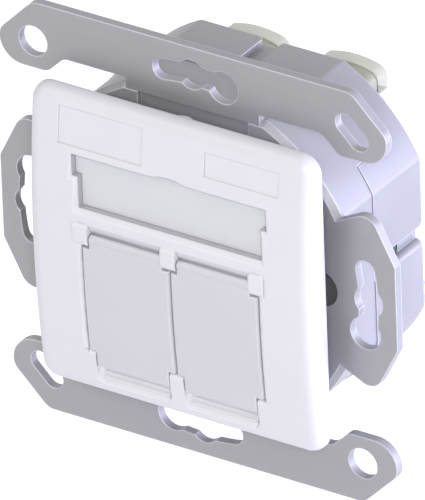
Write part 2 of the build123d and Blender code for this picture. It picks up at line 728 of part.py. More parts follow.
def make_clamp_screws():
    """The two screws of the clamp, driven from behind."""
    seat = BODY_BACK + CLAMP_POST_H + CLAMP_T
    screws = []
    for side in (-1, 1):
        forward = screw(side * CLAMP_SCREW_X, CLAMP_Z, -seat, CLAMP_POST_H + CLAMP_T)
        screws.append(mirror(forward, about=Plane.XZ))
    return screws


# The centre plate, its label and its flaps


def inside_crown(inset):
    """Everything behind the bowed face, drawn back by `inset`."""
    return Pos(0, CROWN_R - PLATE_FRONT, 0) * Rot(0, 90, 0) * Cylinder(CROWN_R - inset, FAR)


def label_outline(gap=0.0):
    """Stepped outline of the label window, wider above."""
    wide = panel(-LABEL_HALF_W + gap, LABEL_STEP_Z + gap, LABEL_HALF_W - gap, LABEL_TOP - gap)
    low = panel(-LABEL_LOW_HALF_W + gap, LABEL_BOTTOM + gap, LABEL_LOW_HALF_W - gap, LABEL_STEP_Z + 2 * gap)
    return wide + low


def flap_outline():
    """Right flap seen from the room: notched round the lugs and narrower at the foot."""
    wide = panel(FLAP_INNER_X, FLAP_STEP_Z, FLAP_OUTER_X, FLAP_SHOULDER_Z)
    narrow = panel(FLAP_NARROW_INNER_X, FLAP_BOTTOM, FLAP_NARROW_OUTER_X, FLAP_TOP)
    return wide + narrow


def hinge_rod(radius, left, right):
    """Round solid along the hinge line."""
    return Pos((left + right) / 2, HINGE_Y, HINGE_Z) * Rot(0, 90, 0) * Cylinder(radius, right - left)


def make_flap():
    """Right dust flap, closed: bowed leaf with a bead along its top, and two trunnions behind the bead."""
    leaf = slab(flap_outline(), -FAR, 0) & (inside_crown(FLAP_RECESS) - inside_crown(FLAP_RECESS + FLAP_T))
    front_face = leaf.faces().sort_by(Axis.Y)[0]
    sides = [
        edge
        for edge in front_face.edges()
        if abs(edge.center().X - FLAP_INNER_X) < 0.01 or abs(edge.center().X - FLAP_OUTER_X) < 0.01
    ]
    leaf = fillet(sides, FLAP_EDGE_R)
    bead = bar(Pos(BEAD_Y, BEAD_Z) * Circle(BEAD_R), FLAP_NARROW_INNER_X, FLAP_NARROW_OUTER_X)
    inner = hinge_rod(TRUNNION_R, FLAP_NARROW_INNER_X - TRUNNION_L, FLAP_NARROW_INNER_X + TRUNNION_L)
    outer = hinge_rod(TRUNNION_R, FLAP_NARROW_OUTER_X - TRUNNION_L, FLAP_NARROW_OUTER_X + TRUNNION_L)
    return leaf + bead + inner + outer


def lug(left, right):
    """Hinge lug on the plate, rounded at the foot so that the flap swings past it."""
    front = -PLATE_FRONT - LUG_PROUD
    root = HINGE_ROOM_BACK + PLATE_WALL / 2
    profile = rounded_outline(
        [
            (root, LUG_BOTTOM, 0),
            (front, LUG_BOTTOM, LUG_FOOT_R),
            (front, LUG_TOP - LUG_BEVEL, LUG_BEVEL / 2),
            (front + LUG_BEVEL, LUG_TOP, LUG_BEVEL / 2),
            (root, LUG_TOP, 0),
        ]
    )
    return bar(profile, left, right)


def hinge_room():
    """Space for both hinges, open to the room between its foot and the slanted band."""
    rise = 2.0
    profile = make_face(
        Polyline(
            (-PLATE_FRONT - rise, BEVEL_TOP + rise * BEVEL_H / BEVEL_DEPTH),
            (-PLATE_FRONT + BEVEL_DEPTH, BEVEL_BOTTOM),
            (HINGE_ROOM_BACK, BEVEL_BOTTOM),
            (HINGE_ROOM_BACK, HINGE_Z - BEAD_REACH),
            (-PLATE_FRONT - rise, HINGE_Z - BEAD_REACH),
            close=True,
        )
    )
    return bar(profile, -POCKET_HALF_X, POCKET_HALF_X)


def flap_pocket():
    """Space cut from the plate for both flaps, with a bowed floor and rounded edges."""
    opening = panel(-POCKET_HALF_X, FLAP_BOTTOM - FLAP_END_GAP, POCKET_HALF_X, HINGE_Z)
    below_step = panel(SCOOP_HIGH_X, -FAR, FAR, POCKET_STEP_Z)
    opening = opening - below_step - mirrored_x(below_step)
    opening = opening - panel(-SCOOP_LOW_X, -FAR, SCOOP_LOW_X, POCKET_STEP_Z)
    pocket = slab(opening, -FAR, 0) - inside_crown(POCKET_DEPTH)
    side_cut = Pos(POCKET_HALF_X, -PLATE_FRONT) * mirror(edge_cut(POCKET_SIDE_R), about=Plane.XZ)
    crown_axis = Axis((0, CROWN_R - PLATE_FRONT, 0), (1, 0, 0))
    side_ring = revolve(side_cut, crown_axis) & slab(panel(0, POCKET_STEP_Z, FAR, LUG_TOP), -FAR, 0)
    step_cut = Pos(crown_y(POCKET_STEP_Z), POCKET_STEP_Z) * edge_cut(POCKET_STEP_R)
    return pocket + side_ring + mirrored_x(side_ring) + bar(step_cut, -POCKET_HALF_X, POCKET_HALF_X)


def finger_scoop():
    """Right finger scoop below the flap, as a cutting tool and its two ridges."""
    reach = SCOOP_MIDDLE_Z - SCOOP_BOTTOM
    middle_y = crown_y(SCOOP_BOTTOM) - math.sqrt(SCOOP_R**2 - reach**2)
    width = SCOOP_HIGH_X - SCOOP_LOW_X
    line = Pos((SCOOP_LOW_X + SCOOP_HIGH_X) / 2, middle_y, SCOOP_MIDDLE_Z) * Rot(0, 90, 0)
    roller = Cylinder(SCOOP_R, width)
    tool = line * chamfer(roller.edges().filter_by(GeomType.CIRCLE), SCOOP_END)
    tool = tool & slab(panel(0, -FAR, FAR, FLAP_BOTTOM), -FAR, 0)
    ridges = []
    for angle in RIDGE_ANGLES:
        across = SCOOP_R * math.cos(math.radians(angle))
        down = SCOOP_R * math.sin(math.radians(angle))
        ridges.append(Pos(0, across, -down) * line * Cylinder(RIDGE_R, width - 2 * SCOOP_END))
    return tool, ridges


def pry_tab():
    """Half-moon tab that stands behind the top edge of the rim, a little below the rim's surface."""
    radius = (PRY_TAB_W**2 / 4 + PRY_TAB_OUT**2) / (2 * PRY_TAB_OUT)
    thickness = PLATE_WALL - PRY_TAB_DROP
    disc = Pos(PRY_TAB_X, PRY_TAB_OUT - PLATE_BACK - radius, PLATE_SIZE / 2 - PLATE_WALL + thickness / 2)
    disc = disc * Cylinder(radius, thickness)
    return disc & slab(Rectangle(FAR, FAR), -PLATE_BACK - PRY_TAB_OUT, 0)


def make_centre_plate():
    """Bowed 50 mm plate with its label pocket, hinge lugs, plug windows and screw boss."""
    block = slab(RectangleRounded(PLATE_SIZE, PLATE_SIZE, PLATE_CORNER_R), -FAR, -PLATE_BACK) & inside_crown(0)
    block = fillet(block.faces().sort_by(Axis.Y)[0].edges(), PLATE_EDGE_R)
    inner_size = PLATE_SIZE - 2 * PLATE_WALL
    hollow = slab(RectangleRounded(inner_size, inner_size, PLATE_CORNER_R - PLATE_WALL), -FAR, -PLATE_BACK)
    plate = block - (hollow & inside_crown(PLATE_WALL))
    skin = PLATE_WALL / 2
    backing_half = POCKET_HALF_X + PLATE_WALL
    backing = slab(
        panel(-backing_half, SCOOP_BOTTOM - skin, backing_half, BEVEL_TOP + PLATE_WALL), -FAR, -PLATE_BACK
    )
    label_half = LABEL_HALF_W + PLATE_WALL
    label_back = LABEL_BACK + LABEL_FLOOR_T
    label_pad = slab(
        panel(-label_half, LABEL_BOTTOM - PLATE_WALL, label_half, LABEL_TOP + PLATE_WALL), -FAR, label_back
    )
    plate = plate + ((backing + label_pad) & inside_crown(skin))
    plate = plate + rod(0, PLATE_SCREW_Z, PLATE_BOSS_R, label_back - LABEL_FLOOR_T / 2, FACE_Y)
    foot_outline = Rectangle(PLATE_FOOT_W, PLATE_FOOT_W)
    for side in (-1, 1):
        for level in (-1, 1):
            foot = slab(Pos(side * PLATE_FOOT_XZ, level * PLATE_FOOT_XZ) * foot_outline, -FAR, FACE_Y)
            plate = plate + (foot & inside_crown(skin))
    scoop, ridges = finger_scoop()
    plate = plate - scoop - mirrored_x(scoop)
    for ridge in ridges:
        plate = plate + ridge + mirrored_x(ridge)
    plate = plate - flap_pocket() - hinge_room()
    plate = plate + lug(LUG_INNER_X, LUG_OUTER_X) + lug(-LUG_OUTER_X, -LUG_INNER_X)
    plate = plate + lug(-LUG_MID_HALF_W, LUG_MID_HALF_W)
    bore_depth = TRUNNION_L + LUG_GAP / 2
    for side in (-1, 1):
        ends = sorted((side * (LUG_MID_HALF_W - bore_depth + LUG_GAP), side * (LUG_INNER_X + bore_depth)))
        plate = plate - hinge_rod(TRUNNION_R + TRUNNION_GAP, *ends)
        window = Pos(side * JACK_PITCH / 2, JACK_Z) * Rectangle(PLUG_WINDOW_W, PLUG_WINDOW_H)
        plate = plate - slab(window, -PLATE_FRONT, -PLATE_BACK + 1)
    plate = plate - slab(label_outline(), -FAR, LABEL_BACK)
    bevel_start = -LABEL_FACE + LABEL_BEVEL_DEPTH
    bevel_rise = PLATE_FRONT - LABEL_FACE + LABEL_BEVEL_DEPTH
    bevel = extrude(Plane.XZ.offset(-bevel_start) * label_outline(), amount=bevel_rise, taper=-45)
    plate = plate - bevel
    nail_r = (NAIL_NOTCH_W**2 / 4 + NAIL_NOTCH_H**2) / (2 * NAIL_NOTCH_H)
    nail = Pos(0, LABEL_TOP + NAIL_NOTCH_H - nail_r) * Circle(nail_r)
    nail = nail & panel(-NAIL_NOTCH_W, LABEL_TOP - 1, NAIL_NOTCH_W, LABEL_TOP + NAIL_NOTCH_H)
    plate = plate - slab(nail, -FAR, -LABEL_FACE + NAIL_NOTCH_DEPTH)
    plate = plate - rod(0, PLATE_SCREW_Z, SCREW_HEAD_R + HEAD_GAP, LABEL_BACK, LABEL_BACK + SCREW_HEAD_H)
    plate = plate - rod(0, PLATE_SCREW_Z, SCREW_R + SHANK_GAP, LABEL_BACK, FACE_Y)
    for plaque in (PLAQUE_LEFT, PLAQUE_RIGHT):
        plate = plate - (slab(panel(*plaque), -FAR, 0) - inside_crown(PLAQUE_DEPTH))
    return plate + pry_tab()


def make_label_cover():
    return slab(label_outline(LABEL_GAP), -LABEL_FACE, -LABEL_FACE + COVER_T)


def make_label_card():
    return slab(label_outline(LABEL_GAP), -LABEL_FACE + COVER_T, LABEL_BACK)


def make_plate_screw():
    return [screw(0, PLATE_SCREW_Z, LABEL_BACK + SCREW_HEAD_H, PLATE_SCREW_L)]


def write(node, solids):
    """Write the solids of one node to its file."""
    pieces = solids if isinstance(solids, list) else [solids]
    found = [solid for piece in pieces for solid in piece.solids()]
    export_step(Compound(children=found, label=node), f"parts/{node}.step")
    print(node, len(found), round(sum(solid.volume for solid in found), 2))


def main():
    os.makedirs("parts", exist_ok=True)
    write("support_frame", make_support_frame())
    write("rear_housing", make_rear_housing())
    write("housing_screws", make_housing_screws())
    write("circuit_board", make_circuit_board())
    flap = make_flap()
    write("flap_right", flap)
    write("flap_left", mirrored_x(flap))
    for side, name in ((-1, "left"), (1, "right")):
        jack_x = side * JACK_PITCH / 2
        block_x = side * BLOCK_PITCH / 2
        write(f"jack_{name}", jack_body(jack_x))
        write(f"jack_shield_{name}", jack_shield(jack_x))
        write(f"jack_contacts_{name}", jack_contacts(jack_x))
        write(f"terminal_block_{name}", cut_blade_pockets(terminal_block(block_x), block_x))
        write(f"terminal_contacts_{name}", terminal_contacts(block_x))
        write(f"wire_cap_{name}", wire_cap(block_x))
    write("cable_clamp", make_cable_clamp())
    write("clamp_screws", make_clamp_screws())
    write("centre_plate", make_centre_plate())
    write("label_cover", make_label_cover())
    write("label_card", make_label_card())
    write("plate_screw", make_plate_screw())


main()
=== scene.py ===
"""Looks, stage and camera for a flush-mounted twin data outlet insert."""

import math

import bpy
from bpy.props import FloatProperty, FloatVectorProperty, IntProperty, PointerProperty
from bpy.types import Operator, Panel, PropertyGroup
from mathutils import Matrix, Vector


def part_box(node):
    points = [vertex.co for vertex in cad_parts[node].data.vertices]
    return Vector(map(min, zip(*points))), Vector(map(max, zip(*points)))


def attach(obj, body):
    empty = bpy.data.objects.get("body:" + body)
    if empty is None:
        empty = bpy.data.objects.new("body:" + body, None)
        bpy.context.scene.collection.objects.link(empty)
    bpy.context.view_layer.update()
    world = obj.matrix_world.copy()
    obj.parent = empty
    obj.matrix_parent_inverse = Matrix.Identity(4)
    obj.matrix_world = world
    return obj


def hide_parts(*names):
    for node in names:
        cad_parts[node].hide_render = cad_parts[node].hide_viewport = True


bl_info = {
    "name": "Twin data outlet",
    "version": (1, 0, 0),
    "blender": (4, 5, 0),
    "location": "3D View > Sidebar > Outlet",
    "description": "Finishes, stage and camera for a flush-mounted twin data outlet insert",
    "category": "Object",
}

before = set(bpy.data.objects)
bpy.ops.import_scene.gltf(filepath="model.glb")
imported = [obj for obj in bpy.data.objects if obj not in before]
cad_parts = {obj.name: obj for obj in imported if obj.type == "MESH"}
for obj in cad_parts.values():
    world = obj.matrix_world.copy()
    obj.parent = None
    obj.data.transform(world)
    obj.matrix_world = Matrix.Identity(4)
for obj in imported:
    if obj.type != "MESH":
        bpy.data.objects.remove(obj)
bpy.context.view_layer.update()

BODY = "outlet"
MM = 0.001
WHITE = (1.0, 1.0, 1.0)
SIDES = ("left", "right")

# Flaps are moulded a little greyer than the plate
FLAP_SHADE = 0.845

# Patches of the mottle, per metre, and the span of noise that they use
MOTTLE_SCALE = 110.0
MOTTLE_SPAN = (0.3, 0.7)

# Cosine between the true and the rounded normal where the painted edge highlight starts
HIGHLIGHT_START = 0.998

# Open share of a corner where the painted crevice shade is full, and where it is gone
CREVICE_SHADE_SPAN = (0.35, 0.92)

# Sides of a round wire and steps of its bends
WIRE_SIDES = 12
BEND_STEPS = 6

# Sockets of a colour mix, which share their names with those of other mixes
COLOUR_A = 6
COLOUR_B = 7
COLOUR_RESULT = 2

# Where the lamps hang, seen from the origin, and the cool light from the right
KEY_FROM = (1.0, 0.42, 0.06)
TOP_FROM = (-0.45, -0.45, 0.75)
KEY_COLOUR = (0.66, 0.67, 1.0)

FLOOR_COLOUR = (0.9, 0.9, 0.9)
FLOOR_GLOW = 0.6


def linear(red, green, blue):
    """Linear colour from eight-bit display values."""

    def channel(value):
        share = value / 255
        return share / 12.92 if share <= 0.04045 else ((share + 0.055) / 1.055) ** 2.4

    return (channel(red), channel(green), channel(blue))


def colour_property(name, description, default):
    """Colour that the panel shows."""
    return FloatVectorProperty(
        name=name, description=description, default=default, size=3, subtype="COLOR", min=0.0, max=1.0
    )


def length_property(name, description, default):
    """Length in metres that the panel shows."""
    return FloatProperty(
        name=name, description=description, default=default, unit="LENGTH", min=0.0, precision=5
    )


def number_property(name, description, default):
    """Plain number that the panel shows."""
    return FloatProperty(name=name, description=description, default=default)


class OutletFinishes(PropertyGroup):
    """Colours and textures of the outlet's own finishes, and the colours of the highlights painted on its
    edges.
    """

    die_cast: colour_property("Die-cast zinc", "Colour of the cast body and strips", linear(162, 161, 164))
    # Painted highlight: a brighter colour laid on the sharp cast edges, in place of light caught on their
    # rounding
    die_cast_edge_highlight: colour_property("Cast edge highlight", "Colour of the highlight painted on cast edges", linear(226, 226, 234))
    white: colour_property("White moulding", "Colour of the plate and the flaps", linear(229, 228, 234))
    # Painted highlight: a brighter colour laid on the sharp moulded edges
    white_edge_highlight: colour_property("White edge highlight", "Colour of the highlight painted on moulded edges", linear(250, 250, 252))
    window: colour_property("Label window", "Colour of the clear window", linear(236, 236, 240))
    paper: colour_property("Label card", "Colour of the blank card", linear(240, 240, 244))
    board: colour_property("Solder mask", "Colour of the board", linear(48, 86, 66))
    socket: colour_property("Socket moulding", "Colour of the socket bodies", linear(38, 38, 42))
    steel: colour_property("Plated steel", "Colour of the screws and shields", linear(190, 190, 194))
    gold: colour_property("Gold plating", "Colour of the contact wires", linear(232, 190, 96))
    terminal: colour_property("Terminal moulding", "Colour of the terminal blocks", linear(204, 204, 200))
    cap: colour_property("Wire cap", "Colour of the milky caps", linear(199, 201, 176))
    grain: length_property("Cast grain", "Size of the grain of the casting", 0.45 * MM)
    # This radius also sets how wide the painted edge highlight is
    edge: length_property("Edge radius", "Rounding seen on sharp moulded and cast edges", 0.18 * MM)


class OutletWires(PropertyGroup):
    """Sizes of the spring contacts of the sockets."""

    count: IntProperty(name="Wires", description="Contacts in a socket", default=8, min=1)
    pitch: length_property("Pitch", "From one contact to the next", 1.02 * MM)
    diameter: length_property("Wire diameter", "Thickness of a contact wire", 0.4 * MM)
    bend: length_property("Bend radius", "Radius of the bend at the front", 0.42 * MM)
    loop: length_property("Bend height", "Height of the bend at the front", 0.9 * MM)
    leg: length_property("Leg", "How far the springing leg reaches back", 6.5 * MM)


class OutletStage(PropertyGroup):
    """Sizes and strengths of the stage, the lamps and the camera."""

    azimuth: number_property("Azimuth", "Turn of the camera about Z in degrees", 34.18)
    elevation: number_property("Elevation", "Height of the camera in degrees", 29.51)
    roll: number_property("Roll", "Lean of the camera in degrees", -2.17)
    lens: number_property("Lens", "Focal length in millimetres, long for a nearly parallel view", 1450.0)
    field: length_property("Field", "Height of the picture at the object", 73.85 * MM)
    shift_right: length_property("Aim right", "Aim point to the right of the origin", 2.137 * MM)
    shift_up: length_property("Aim up", "Aim point above the origin", 0.33 * MM)
    floor_drop: length_property("Floor drop", "Floor below the origin", 110 * MM)
    floor_size: length_property("Floor size", "Width of the floor", 6.0)
    key_watts: number_property("Key lamp", "Power of the lamp from the right", 10.9)
    fill_watts: number_property("Fill lamp", "Power of the lamp in the camera's direction", 4.7)
    top_watts: number_property("Top lamp", "Power of the lamp from above", 1.05)
    ambient: number_property("Surroundings", "Strength of the white surroundings", 0.36)


def finishes():
    """The scene's finish settings."""
    return bpy.context.scene.outlet_finishes


# Shared shader nodes


def add(tree, kind, **settings):
    """New node of a kind, with its settings."""
    node = tree.nodes.new(kind)
    for key, value in settings.items():
        setattr(node, key, value)
    return node


def new_group(name, inputs, outputs):
    """Shader node group with named sockets, given as (name, type, default) and (name, type)."""
    group = bpy.data.node_groups.new(name, "ShaderNodeTree")
    for label, kind, default in inputs:
        socket = group.interface.new_socket(name=label, in_out="INPUT", socket_type=kind)
        socket.default_value = default
    for label, kind in outputs:
        group.interface.new_socket(name=label, in_out="OUTPUT", socket_type=kind)
    return group, add(group, "NodeGroupInput"), add(group, "NodeGroupOutput")


def span_node(tree, low, high):
    """Node that spreads the span from low to high over 0 to 1."""
    node = add(tree, "ShaderNodeMapRange")
    node.inputs["From Min"].default_value = low
    node.inputs["From Max"].default_value = high
    return node


def grain_group():
    """Fine even grain of a cast or spark-eroded surface."""
    group, given, result = new_group(
        "Surface grain",
        [("Scale", "NodeSocketFloat", 1000.0)],
        [("Height", "NodeSocketFloat"), ("Mottle", "NodeSocketFloat")],
    )
    place = add(group, "ShaderNodeTexCoord")
    fine = add(group, "ShaderNodeTexNoise")
    fine.inputs["Detail"].default_value = 3.0
    broad = add(group, "ShaderNodeTexNoise")
    broad.inputs["Detail"].default_value = 2.0
    broad.inputs["Scale"].default_value = MOTTLE_SCALE
    spread = span_node(group, *MOTTLE_SPAN)
    group.links.new(place.outputs["Object"], fine.inputs["Vector"])
    group.links.new(place.outputs["Object"], broad.inputs["Vector"])
    group.links.new(given.outputs["Scale"], fine.inputs["Scale"])
    group.links.new(fine.outputs["Fac"], result.inputs["Height"])
    group.links.new(broad.outputs["Fac"], spread.inputs["Value"])
    group.links.new(spread.outputs["Result"], result.inputs["Mottle"])
    return group


def edge_group():
    """Mask of sharp edges, where a highlight is painted, and the normal that rounds them."""
    group, given, result = new_group(
        "Rounded edges and highlight",
        [("Radius", "NodeSocketFloat", 0.0002), ("Full at", "NodeSocketFloat", 0.85)],
        [("Edge", "NodeSocketFloat"), ("Normal", "NodeSocketVector")],
    )
    bevel = add(group, "ShaderNodeBevel", samples=6)
    surface = add(group, "ShaderNodeNewGeometry")
    dot = add(group, "ShaderNodeVectorMath", operation="DOT_PRODUCT")
    spread = add(group, "ShaderNodeMapRange")
    spread.inputs["From Min"].default_value = HIGHLIGHT_START
    group.links.new(given.outputs["Full at"], spread.inputs["From Max"])
    group.links.new(given.outputs["Radius"], bevel.inputs["Radius"])
    group.links.new(bevel.outputs["Normal"], dot.inputs[0])
    group.links.new(surface.outputs["Normal"], dot.inputs[1])
    group.links.new(dot.outputs["Value"], spread.inputs["Value"])
    group.links.new(spread.outputs["Result"], result.inputs["Edge"])
    group.links.new(bevel.outputs["Normal"], result.inputs["Normal"])
    return group


def crevice_shade_group():
    """Mask of corners and gaps that light hardly reaches, where shade is painted."""
    group, given, result = new_group(
        "Crevice shade",
        [("Reach", "NodeSocketFloat", 0.001)],
        [("Open", "NodeSocketFloat")],
    )
    shade = add(group, "ShaderNodeAmbientOcclusion", samples=8)
    spread = span_node(group, *CREVICE_SHADE_SPAN)
    group.links.new(given.outputs["Reach"], shade.inputs["Distance"])
    group.links.new(shade.outputs["AO"], spread.inputs["Value"])
    group.links.new(spread.outputs["Result"], result.inputs["Open"])
    return group


def shared(name, maker):
    """The shader node group of that name, made on first use."""
    return bpy.data.node_groups.get(name) or maker()


def place_group(tree, group, values):
    """Shared group in a material, with the values of its inputs."""
    node = add(tree, "ShaderNodeGroup", node_tree=group)
    for key, value in values.items():
        node.inputs[key].default_value = value
    return node


def mix_colours(tree, factor, first, second):
    """Colour mix of two colours or sockets by a mask socket."""
    node = add(tree, "ShaderNodeMix", data_type="RGBA")
    tree.links.new(factor, node.inputs["Factor"])
    for socket, value in ((node.inputs[COLOUR_A], first), (node.inputs[COLOUR_B], second)):
        if isinstance(value, bpy.types.NodeSocket):
            tree.links.new(value, socket)
        else:
            socket.default_value = (*value, 1.0)
    return node.outputs[COLOUR_RESULT]


def ranged(tree, value, low, high):
    """Value socket spread from low to high."""
    node = add(tree, "ShaderNodeMapRange")
    node.inputs["To Min"].default_value = low
    node.inputs["To Max"].default_value = high
    tree.links.new(value, node.inputs["Value"])
    return node.outputs["Result"]


def scaled(colour, share):
    """The colour made darker or paler by a share."""
    return tuple(min(channel * share, 1.0) for channel in colour)


def surface_material(
    name,
    colour,
    roughness,
    grain_scale,
    grain_height,
    crevice,
    edge_highlight_colour=None,
    rough_spread=0.08,
    metallic=0.0,
    mottle=0.04,
    crevice_reach=0.4 * MM,
    edge_full=0.85,
    edge_width=1.0,
    settings=None,
):
    """Finish with fine grain, a slight mottle, rounded edges, a painted highlight on sharp edges and
    painted shade in crevices.

    crevice is the share of the colour left in a crevice as painted shade, and mottle the share it varies
    by.
    grain_scale is in grains to a metre, edge_width in edge radii, and edge_full is the cosine
    where the painted edge highlight is full. settings are constants of the shader itself.
    """
    material = bpy.data.materials.new(name)
    material.use_nodes = True
    tree = material.node_tree
    shader = tree.nodes["Principled BSDF"]
    shader.inputs["Metallic"].default_value = metallic
    for key, value in (settings or {}).items():
        shader.inputs[key].default_value = value
    radius = edge_width * finishes().edge
    grain = place_group(tree, shared("Surface grain", grain_group), {"Scale": grain_scale})
    edges = place_group(
        tree, shared("Rounded edges and highlight", edge_group), {"Radius": radius, "Full at": edge_full}
    )
    gaps = place_group(tree, shared("Crevice shade", crevice_shade_group), {"Reach": crevice_reach})
    mottled = mix_colours(
        tree, grain.outputs["Mottle"], scaled(colour, 1 - mottle), scaled(colour, 1 + mottle)
    )
    # Painted highlight: the edge mask lays a brighter colour on sharp edges
    highlighted = mix_colours(tree, edges.outputs["Edge"], mottled, edge_highlight_colour or scaled(colour, 1.05))
    # Painted shade: crevices take a darker share of the colour
    shaded = mix_colours(tree, gaps.outputs["Open"], scaled(colour, crevice), highlighted)
    tree.links.new(shaded, shader.inputs["Base Color"])
    rough = ranged(tree, grain.outputs["Mottle"], roughness - rough_spread, roughness + rough_spread)
    tree.links.new(rough, shader.inputs["Roughness"])
    bump = add(tree, "ShaderNodeBump")
    bump.inputs["Strength"].default_value = 1.0
    bump.inputs["Distance"].default_value = grain_height
    tree.links.new(grain.outputs["Height"], bump.inputs["Height"])
    tree.links.new(edges.outputs["Normal"], bump.inputs["Normal"])
    tree.links.new(bump.outputs["Normal"], shader.inputs["Normal"])
    return material


def dress(material, *nodes):
    """Give CAD nodes a material."""
    for name in nodes:
        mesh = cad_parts[name].data
        mesh.materials.clear()
        mesh.materials.append(material)


# Finishes of the pieces


class DieCastOperator(Operator):
    """Finish the cast body, the strips and the cable clamp"""

    bl_idname = "outlet.die_cast"
    bl_label = "Die-cast body"

    def execute(self, context):
        sizes = finishes()
        material = surface_material(
            "die_cast_zinc",
            sizes.die_cast,
            # A brighter colour on the cast edges is a painted highlight, and crevice a painted shade in
            # its corners
            edge_highlight_colour=sizes.die_cast_edge_highlight,
            roughness=0.46,
            metallic=0.25,
            grain_scale=1 / sizes.grain,
            grain_height=0.012 * MM,
            crevice=0.72,
            crevice_reach=0.5 * MM,
            edge_full=0.96,
            edge_width=1.35,
            settings={"Coat Weight": 0.1, "Coat Roughness": 0.2},
        )
        dress(material, "support_frame", "rear_housing", "cable_clamp")
        return {"FINISHED"}


class ScrewsOperator(Operator):
    """Finish the screws"""

    bl_idname = "outlet.screws"
    bl_label = "Screws"

    def execute(self, context):
        material = surface_material(
            "plated_screw_steel",
            finishes().steel,
            roughness=0.36,
            metallic=0.7,
            grain_scale=4000.0,
            grain_height=0.004 * MM,
            crevice=0.6,
        )
        dress(material, "housing_screws", "clamp_screws", "plate_screw")
        return {"FINISHED"}


class MouldingsOperator(Operator):
    """Finish the centre plate and the dust flaps"""

    bl_idname = "outlet.mouldings"
    bl_label = "Plate and flaps"

    def execute(self, context):
        white = finishes().white
        moulded = {
            # A brighter colour on the moulded edges is a painted highlight; crevice below is a painted
            # shade in gaps and corners
            "edge_highlight_colour": finishes().white_edge_highlight,
            "rough_spread": 0.04,
            "grain_scale": 3500.0,
            "grain_height": 0.004 * MM,
            "mottle": 0.012,
            "crevice_reach": 0.32 * MM,
            "edge_full": 0.9,
            "edge_width": 2.3,
        }
        plate = surface_material("white_moulding", white, roughness=0.38, crevice=0.58, **moulded)
        flaps = surface_material(
            "white_flap", scaled(white, FLAP_SHADE), roughness=0.36, crevice=0.84, **moulded
        )
        dress(plate, "centre_plate")
        dress(flaps, "flap_left", "flap_right")
        return {"FINISHED"}


class LabelOperator(Operator):
    """Finish the label window and its blank card"""

    bl_idname = "outlet.label"
    bl_label = "Label"

    def execute(self, context):
        sizes = finishes()
        window = surface_material(
            "label_window",
            sizes.window,
            roughness=0.12,
            rough_spread=0.03,
            grain_scale=500.0,
            grain_height=0.001 * MM,
            mottle=0.01,
            crevice=0.85,
            settings={"Alpha": 0.12},
        )
        paper = surface_material(
            "label_paper",
            sizes.paper,
            roughness=0.9,
            grain_scale=3000.0,
            grain_height=0.002 * MM,
            mottle=0.012,
            crevice=0.92,
        )
        dress(window, "label_cover")
        dress(paper, "label_card")
        return {"FINISHED"}


class BoardOperator(Operator):
    """Finish the circuit board"""

    bl_idname = "outlet.board"
    bl_label = "Circuit board"

    def execute(self, context):
        material = surface_material(
            "solder_mask",
            finishes().board,
            roughness=0.35,
            grain_scale=1500.0,
            grain_height=0.01 * MM,
            mottle=0.12,
            crevice=0.5,
        )
        dress(material, "circuit_board")
        return {"FINISHED"}


def wire_tree():
    """Geometry nodes that bend round wires from one path and set them side by side."""
    tree = bpy.data.node_groups.new("contact_wires", "GeometryNodeTree")
    for label, kind in (
        ("Path", "NodeSocketGeometry"),
        ("Wires", "NodeSocketInt"),
        ("Pitch", "NodeSocketFloat"),
        ("Wire radius", "NodeSocketFloat"),
        ("Bend radius", "NodeSocketFloat"),
        ("Finish", "NodeSocketMaterial"),
    ):
        tree.interface.new_socket(name=label, in_out="INPUT", socket_type=kind)
    tree.interface.new_socket(name="Row", in_out="OUTPUT", socket_type="NodeSocketGeometry")
    given = add(tree, "NodeGroupInput")
    result = add(tree, "NodeGroupOutput")
    path = add(tree, "GeometryNodeMeshToCurve")
    bent = add(tree, "GeometryNodeFilletCurve", mode="POLY")
    bent.inputs["Count"].default_value = BEND_STEPS
    ring = add(tree, "GeometryNodeCurvePrimitiveCircle")
    ring.inputs["Resolution"].default_value = WIRE_SIDES
    tube = add(tree, "GeometryNodeCurveToMesh")
    tube.inputs["Fill Caps"].default_value = True
    last = add(tree, "ShaderNodeMath", operation="SUBTRACT")
    last.inputs[1].default_value = 1.0
    half = add(tree, "ShaderNodeMath", operation="MULTIPLY")
    half.inputs[1].default_value = -0.5
    reach = add(tree, "ShaderNodeMath", operation="MULTIPLY")
    start = add(tree, "ShaderNodeCombineXYZ")
    step = add(tree, "ShaderNodeCombineXYZ")
    row = add(tree, "GeometryNodeMeshLine")
    places = add(tree, "GeometryNodeInstanceOnPoints")
    joined = add(tree, "GeometryNodeRealizeInstances")
    finish = add(tree, "GeometryNodeSetMaterial")
    smooth = add(tree, "GeometryNodeSetShadeSmooth")
    for source, target in (
        (given.outputs["Path"], path.inputs["Mesh"]),
        (path.outputs["Curve"], bent.inputs["Curve"]),
        (given.outputs["Bend radius"], bent.inputs["Radius"]),
        (bent.outputs["Curve"], tube.inputs["Curve"]),
        (given.outputs["Wire radius"], ring.inputs["Radius"]),
        (ring.outputs["Curve"], tube.inputs["Profile Curve"]),
        (given.outputs["Wires"], last.inputs[0]),
        (last.outputs["Value"], half.inputs[0]),
        (half.outputs["Value"], reach.inputs[0]),
        (given.outputs["Pitch"], reach.inputs[1]),
        (reach.outputs["Value"], start.inputs["X"]),
        (given.outputs["Pitch"], step.inputs["X"]),
        (given.outputs["Wires"], row.inputs["Count"]),
        (start.outputs["Vector"], row.inputs["Start Location"]),
        (step.outputs["Vector"], row.inputs["Offset"]),
        (row.outputs["Mesh"], places.inputs["Points"]),
        (tube.outputs["Mesh"], places.inputs["Instance"]),
        (places.outputs["Instances"], joined.inputs["Geometry"]),
        (joined.outputs["Geometry"], finish.inputs["Geometry"]),
        (given.outputs["Finish"], finish.inputs["Material"]),
        (finish.outputs["Geometry"], smooth.inputs["Geometry"]),
        (smooth.outputs["Geometry"], result.inputs["Row"]),
    ):
        tree.links.new(source, target)
    return tree


